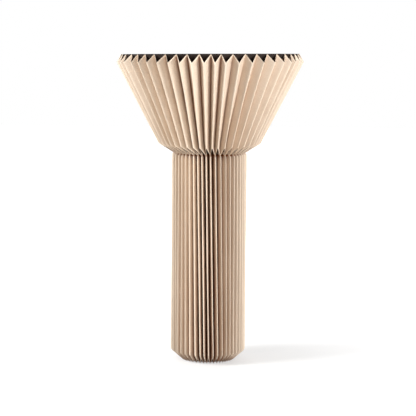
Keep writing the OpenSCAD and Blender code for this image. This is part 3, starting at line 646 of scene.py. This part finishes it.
# Grey iron from a sand mould under one coat of black paint: the 1.2 mm sand grain still shows
def paintedIron():
    material, tree, shader, place = newMaterial("paintedIron")
    sand = addNode(tree, "ShaderNodeTexVoronoi", {"Vector": place, "Scale": 1 / (1.2 * mm)})
    hills = addNode(tree, "ShaderNodeTexNoise", {"Vector": place, "Scale": 1 / (9 * mm), "Detail": 5})
    rust = addNode(tree, "ShaderNodeTexNoise", {
        "Vector": place, "Scale": 1 / (18 * mm), "Detail": 6, "Roughness": 0.7})
    tint = addNode(tree, "ShaderNodeMix", {
        "Factor": addNode(tree, "ShaderNodeMapRange", {0: rust.outputs["Fac"], 1: 0.62, 2: 0.75}),
        6: hexColour("#2B2C2E"), 7: hexColour("#4A3A30")}, data_type="RGBA")
    tree.links.new(tint.outputs[2], shader.inputs["Base Color"])
    rough = addNode(tree, "ShaderNodeMapRange", {0: rust.outputs["Fac"], 1: 0.4, 2: 0.75, 3: 0.5, 4: 0.85})
    tree.links.new(rough.outputs[0], shader.inputs["Roughness"])
    grain = addNode(tree, "ShaderNodeBump", {
        "Height": sand.outputs["Distance"], "Strength": 0.35, "Distance": 0.3 * mm})
    bump = addNode(tree, "ShaderNodeBump", {
        "Height": hills.outputs["Fac"], "Strength": 0.5, "Distance": 0.8 * mm,
        "Normal": grain.outputs["Normal"]})
    tree.links.new(bump.outputs["Normal"], shader.inputs["Normal"])
    return material


# Zinc plate with a clear blue passivate on steel: 4 mm cloudy patches, some warm and some cold
def zincPlate():
    material, tree, shader, place = newMaterial("zincPlate")
    patch = addNode(tree, "ShaderNodeTexNoise", {"Vector": place, "Scale": 1 / (4 * mm), "Detail": 4})
    tint = addNode(tree, "ShaderNodeMix", {
        "Factor": addNode(tree, "ShaderNodeMapRange", {0: patch.outputs["Fac"], 1: 0.35, 2: 0.65}),
        6: hexColour("#B9BEC4"), 7: hexColour("#C6C1AE")}, data_type="RGBA")
    tree.links.new(tint.outputs[2], shader.inputs["Base Color"])
    shader.inputs["Metallic"].default_value = 1.0
    rough = addNode(tree, "ShaderNodeMapRange", {0: patch.outputs["Fac"], 1: 0.3, 2: 0.7, 3: 0.28, 4: 0.45})
    tree.links.new(rough.outputs[0], shader.inputs["Roughness"])
    bump = addNode(tree, "ShaderNodeBump", {
        "Height": patch.outputs["Fac"], "Strength": 0.15, "Distance": 0.1 * mm})
    tree.links.new(bump.outputs["Normal"], shader.inputs["Normal"])
    return material


# Metal turned on a lathe: tool rings, 0.3 mm apart and drawn at 0.6 mm so that they show, and tarnish
def turnedMetal(name, code, tarnish, roughness):
    material, tree, shader, place = newMaterial(name)
    rings = addNode(tree, "ShaderNodeTexWave", {
        "Vector": place, "Scale": 1 / (0.6 * mm) / math.tau, "Distortion": 0.4}, bands_direction="Z")
    cloud = addNode(tree, "ShaderNodeTexNoise", {"Vector": place, "Scale": 1 / (7 * mm), "Detail": 4})
    tint = addNode(tree, "ShaderNodeMix", {
        "Factor": addNode(tree, "ShaderNodeMapRange", {0: cloud.outputs["Fac"], 1: 0.4, 2: 0.75}),
        6: hexColour(code), 7: hexColour(tarnish)}, data_type="RGBA")
    tree.links.new(tint.outputs[2], shader.inputs["Base Color"])
    shader.inputs["Metallic"].default_value = 1.0
    rough = addNode(tree, "ShaderNodeMapRange", {
        0: cloud.outputs["Fac"], 1: 0.3, 2: 0.7, 3: roughness - 0.06, 4: roughness + 0.14})
    tree.links.new(rough.outputs[0], shader.inputs["Roughness"])
    bump = addNode(tree, "ShaderNodeBump", {
        "Height": rings.outputs["Fac"], "Strength": 0.2, "Distance": 0.05 * mm})
    tree.links.new(bump.outputs["Normal"], shader.inputs["Normal"])
    return material


# EPDM rubber from a spark-eroded mould: dull black with a pale bloom and a 0.8 mm grain
def mouldedRubber():
    material, tree, shader, place = newMaterial("mouldedRubber")
    grain = addNode(tree, "ShaderNodeTexNoise", {"Vector": place, "Scale": 1 / (0.8 * mm), "Detail": 2})
    bloom = addNode(tree, "ShaderNodeTexNoise", {"Vector": place, "Scale": 1 / (10 * mm), "Detail": 4})
    tint = addNode(tree, "ShaderNodeMix", {
        "Factor": addNode(tree, "ShaderNodeMapRange", {0: bloom.outputs["Fac"], 1: 0.4, 2: 0.8}),
        6: hexColour("#202021"), 7: hexColour("#343434")}, data_type="RGBA")
    tree.links.new(tint.outputs[2], shader.inputs["Base Color"])
    shader.inputs["Roughness"].default_value = 0.8
    bump = addNode(tree, "ShaderNodeBump", {
        "Height": grain.outputs["Fac"], "Strength": 0.3, "Distance": 0.1 * mm})
    tree.links.new(bump.outputs["Normal"], shader.inputs["Normal"])
    return material


# Phenolic resin, pressed hot: brown-black with darker flow marks under a hard shine
def phenolicResin():
    material, tree, shader, place = newMaterial("phenolicResin")
    flow = addNode(tree, "ShaderNodeTexNoise", {
        "Vector": place, "Scale": 1 / (12 * mm), "Detail": 5, "Distortion": 1.5})
    tint = addNode(tree, "ShaderNodeMix", {
        "Factor": addNode(tree, "ShaderNodeMapRange", {0: flow.outputs["Fac"], 1: 0.35, 2: 0.65}),
        6: hexColour("#1B1716"), 7: hexColour("#2B2220")}, data_type="RGBA")
    tree.links.new(tint.outputs[2], shader.inputs["Base Color"])
    rough = addNode(tree, "ShaderNodeMapRange", {0: flow.outputs["Fac"], 1: 0.3, 2: 0.7, 3: 0.2, 4: 0.32})
    tree.links.new(rough.outputs[0], shader.inputs["Roughness"])
    bump = addNode(tree, "ShaderNodeBump", {
        "Height": flow.outputs["Fac"], "Strength": 0.1, "Distance": 0.2 * mm})
    tree.links.new(bump.outputs["Normal"], shader.inputs["Normal"])
    return material


# Fired porcelain under a clear glaze: warm white, faint specks, and a skin that waves over 6 mm
def glazedPorcelain():
    material, tree, shader, place = newMaterial("glazedPorcelain")
    speck = addNode(tree, "ShaderNodeTexNoise", {"Vector": place, "Scale": 1 / (1 * mm), "Detail": 2})
    skin = addNode(tree, "ShaderNodeTexNoise", {"Vector": place, "Scale": 1 / (6 * mm), "Detail": 1})
    tint = addNode(tree, "ShaderNodeMix", {
        "Factor": addNode(tree, "ShaderNodeMapRange", {0: speck.outputs["Fac"], 1: 0.68, 2: 0.75}),
        6: hexColour("#E8E3D6"), 7: hexColour("#B9AE98")}, data_type="RGBA")
    tree.links.new(tint.outputs[2], shader.inputs["Base Color"])
    shader.inputs["Roughness"].default_value = 0.12
    shader.inputs["Coat Weight"].default_value = 0.5
    bump = addNode(tree, "ShaderNodeBump", {
        "Height": skin.outputs["Fac"], "Strength": 0.15, "Distance": 0.2 * mm})
    tree.links.new(bump.outputs["Normal"], shader.inputs["Normal"])
    return material


# Soda glass blown with a white silica coat inside: milky, with a smooth outside that shines
def opalGlass():
    material, tree, shader, place = newMaterial("opalGlass")
    coat = addNode(tree, "ShaderNodeTexNoise", {"Vector": place, "Scale": 1 / (14 * mm), "Detail": 3})
    tint = addNode(tree, "ShaderNodeMix", {
        "Factor": addNode(tree, "ShaderNodeMapRange", {0: coat.outputs["Fac"], 1: 0.35, 2: 0.7}),
        6: hexColour("#EEEBE2"), 7: hexColour("#E3DFD2")}, data_type="RGBA")
    tree.links.new(tint.outputs[2], shader.inputs["Base Color"])
    rough = addNode(tree, "ShaderNodeMapRange", {0: coat.outputs["Fac"], 1: 0.3, 2: 0.7, 3: 0.3, 4: 0.42})
    tree.links.new(rough.outputs[0], shader.inputs["Roughness"])
    shader.inputs["IOR"].default_value = 1.52
    shader.inputs["Coat Weight"].default_value = 0.8
    shader.inputs["Coat Roughness"].default_value = 0.05
    shader.inputs["Subsurface Weight"].default_value = 0.2
    shader.inputs["Subsurface Radius"].default_value = (1, 1, 1)
    shader.inputs["Subsurface Scale"].default_value = 5 * mm
    bump = addNode(tree, "ShaderNodeBump", {
        "Height": coat.outputs["Fac"], "Strength": 0.05, "Distance": 0.2 * mm})
    tree.links.new(bump.outputs["Normal"], shader.inputs["Normal"])
    return material


def dressNodes():
    print("materials")
    finishes = {
        "dark_band": blackBoard(),
        "frame_wire": powderCoat("wirePowderCoat", "#29292A", "#3A3937", 0.5),
        "stem_paint": powderCoat("tubePowderCoat", "#2C2C2D", "#383735", 0.4),
        "cast_base": paintedIron(),
        "zinc_steel": zincPlate(),
        "brass": turnedMetal("turnedBrass", "#C9A65A", "#9C7A3C", 0.28),
        "bulb_metal": turnedMetal("rolledAluminium", "#C4C5C6", "#A5A6A8", 0.34),
        "black_rubber": mouldedRubber(),
        "holder_resin": phenolicResin(),
        "porcelain": glazedPorcelain(),
        "bulb_glass": opalGlass(),
    }
    for part in frame["record"]["subparts"]:
        if part["material_slot"] in finishes:
            for slot in frame["nodes"][part["node"]].material_slots:
                slot.material = finishes[part["material_slot"]]
    return finishes


finishes = dressNodes()


# The dark band: a strip of board bent round inside the rim, its ends lapped and glued at the back
rimBand = {
    "wall": 1.5 * mm,
    "segments": 240,
    "lapAt": 97,
    "lap": 24 * mm,
    "lapRun": 18 * mm,
    "glue": 0.1 * mm,
    "edgeWave": 0.35 * mm,
    "waves": 17,
    "sharpOver": 40,
}


def makeBand():
    print("rim band")
    band, skin = rimBand, pleatedSkin
    low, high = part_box("rim_band")
    # It lies along the inner folds of the flare
    run = skin["rimValleyR"] - skin["columnR"] + skin["tuckIn"]
    slope = run / (high.z - skin["neckZ"] - skin["tuckRise"])
    outside = high.x
    extra = band["lap"] / outside
    rings = []
    for k in range(band["segments"] + 1):
        turn = (math.tau + extra) * k / band["segments"]
        angle = math.radians(band["lapAt"]) + turn
        # The strip's end runs in behind its start
        part = min(max(1 - (math.tau - turn) / (band["lapRun"] / outside), 0), 1)
        inwards = (band["wall"] + band["glue"]) * part * part * (3 - 2 * part)
        wave = band["edgeWave"] * (0.5 + 0.5 * math.sin(band["waves"] * angle)) * math.sin(0.5 * turn) ** 2
        top = high.z - wave
        ring = []
        for z, wall in ((low.z, 0), (top, 0), (top, band["wall"]), (low.z, band["wall"])):
            radius = outside - (high.z - z) * slope - wall - inwards
            share = (z - skin["kinkZ"]) / (high.z - skin["kinkZ"])
            drop = skin["rimTilt"] * (1 - math.cos(angle)) / 2 * share
            ring.append((radius * math.cos(angle), radius * math.sin(angle), z - drop))
        rings.append(ring)
    faces = [(0, 1, 2, 3)]
    for k in range(len(rings) - 1):
        a, b = 4 * k, 4 * k + 4
        faces += [(a + n, b + n, b + (n + 1) % 4, a + (n + 1) % 4) for n in range(4)]
    last = 4 * (len(rings) - 1)
    faces.append((last + 3, last + 2, last + 1, last))
    mesh = bpy.data.meshes.new("rimBand")
    mesh.from_pydata([p for ring in rings for p in ring], [], faces)
    mesh.materials.append(finishes["dark_band"])
    for polygon in mesh.polygons:
        polygon.use_smooth = True
    mesh.set_sharp_from_angle(angle=math.radians(band["sharpOver"]))
    piece = bpy.data.objects.new("rimBand", mesh)
    bpy.context.collection.objects.link(piece)
    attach(piece, "shade")
    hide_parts("rim_band")


makeBand()


# Camera: level with the rim and tipped down to hold the whole lamp, as in the photograph
photoView = {
    "distance": 4.0,
    "height": 0.9444,
    "aside": -0.0068,
    "focalPixels": 1322,
    "framePixels": 416,
    "sensor": 36,
    "tipDown": 5.243,
    "roll": -0.473,
    "shift": 0.09,
    "clip": (0.05, 100),
}


def makeCamera():
    view = photoView
    lens = bpy.data.cameras.new("camera")
    camera = bpy.data.objects.new("camera", lens)
    bpy.context.collection.objects.link(camera)
    lens.sensor_width = view["sensor"]
    lens.lens = view["focalPixels"] * view["sensor"] / view["framePixels"]
    lens.shift_y = -view["shift"]
    camera.location = (view["aside"], -view["distance"], view["height"])
    camera.rotation_mode = "XYZ"
    camera.rotation_euler = (math.radians(90 - view["tipDown"]), math.radians(view["roll"]), 0)
    lens.clip_start, lens.clip_end = view["clip"]
    bpy.context.scene.camera = camera


# Softboxes round the lamp: degrees from the camera towards the right, middle height, width, height, watts
studioLights = {
    "sideLight": (-73, 1.7, 1.1, 1.2, 103),
    "keyLight": (50, 0.6, 0.9, 1.2, 52),
    "frontLight": (20, 0.6, 0.8, 1.2, 14),
    "backLeftLight": (-165, 0.8, 1.2, 1.6, 24),
    "backRightLight": (160, 0.8, 1.2, 1.6, 24),
}

# Seen is how a camera, gloss or glass ray sees the world and the floor: the white of the photograph
studio = {
    "lampsAway": 2.8,
    "lampsAim": 0.6,
    "overheadWatts": 22,
    "overheadSize": 1.0,
    "overheadZ": 2.9,
    "worldStrength": 0.15,
    "seenWorld": 1.0,
    "floorHalf": 12,
    "floorPaint": "#B0B0AE",
    "seenPaint": "#C4C4C4",
    "seenGlow": (0.5, 1.0),
    "glowFrom": (0.3, 3.0),
}


def softbox(name, azimuth, middle, width, height, watts):
    lamp = bpy.data.lights.new(name, "AREA")
    lamp.shape = "RECTANGLE"
    lamp.size, lamp.size_y = width, height
    lamp.energy = watts
    holder = bpy.data.objects.new(name, lamp)
    bpy.context.collection.objects.link(holder)
    turn = math.radians(azimuth)
    away = studio["lampsAway"]
    place = Vector((away * math.sin(turn), -away * math.cos(turn), middle))
    holder.location = place
    holder.rotation_mode = "QUATERNION"
    holder.rotation_quaternion = (Vector((0, 0, studio["lampsAim"])) - place).to_track_quat("-Z", "Y")
    return holder


# One for rays that the camera, gloss or glass sends out, and nought for the light that falls on the object
def seenRay(tree):
    path = addNode(tree, "ShaderNodeLightPath").outputs
    either = addNode(tree, "ShaderNodeMath", {
        0: path["Is Camera Ray"], 1: path["Is Glossy Ray"]}, operation="MAXIMUM")
    return addNode(tree, "ShaderNodeMath", {0: either, 1: path["Is Transmission Ray"]}, operation="MAXIMUM")


def makeStudio():
    print("studio")
    for name, box in studioLights.items():
        softbox(name, *box)
    across = studio["overheadSize"]
    overhead = softbox("topLight", 0, studio["overheadZ"], across, across, studio["overheadWatts"])
    overhead.location = (0, 0, studio["overheadZ"])
    overhead.rotation_quaternion = (1, 0, 0, 0)
    world = bpy.data.worlds.new("studioWorld")
    bpy.context.scene.world = world
    world.use_nodes = True
    tree = world.node_tree
    tree.nodes.clear()
    strength = addNode(tree, "ShaderNodeMapRange", {
        0: seenRay(tree), 1: 0.0, 2: 1.0, 3: studio["worldStrength"], 4: studio["seenWorld"]})
    shell = addNode(tree, "ShaderNodeBackground", {"Color": (1, 1, 1, 1), "Strength": strength})
    addNode(tree, "ShaderNodeOutputWorld", {"Surface": shell})

    mesh = bpy.data.meshes.new("floor")
    half = studio["floorHalf"]
    corners = [(-half, -half, 0), (half, -half, 0), (half, half, 0), (-half, half, 0)]
    mesh.from_pydata(corners, [], [(0, 1, 2, 3)])
    floor = bpy.data.objects.new("floor", mesh)
    bpy.context.collection.objects.link(floor)
    # Painted floor that goes over into the white backdrop: it glows most where the lamps' light thins out
    material, tree, shader, place = newMaterial("paleFloor")
    shader.inputs["Roughness"].default_value = 0.9
    seen = seenRay(tree)
    paint = addNode(tree, "ShaderNodeMix", {
        "Factor": seen, 6: hexColour(studio["floorPaint"]),
        7: hexColour(studio["seenPaint"])}, data_type="RGBA")
    tree.links.new(paint.outputs[2], shader.inputs["Base Color"])
    away = addNode(tree, "ShaderNodeVectorMath", {0: place}, operation="LENGTH").outputs["Value"]
    glowing = addNode(tree, "ShaderNodeMapRange", {
        0: away, 1: studio["glowFrom"][0], 2: studio["glowFrom"][1],
        3: studio["seenGlow"][0], 4: studio["seenGlow"][1]})
    glow = addNode(tree, "ShaderNodeEmission", {
        "Color": (1, 1, 1, 1),
        "Strength": addNode(tree, "ShaderNodeMath", {0: glowing, 1: seen}, operation="MULTIPLY")})
    both = addNode(tree, "ShaderNodeAddShader", {0: shader, 1: glow})
    tree.links.new(both.outputs[0], tree.nodes["Material Output"].inputs["Surface"])
    mesh.materials.append(material)
    bpy.context.scene.view_settings.view_transform = "Standard"


makeCamera()
makeStudio()
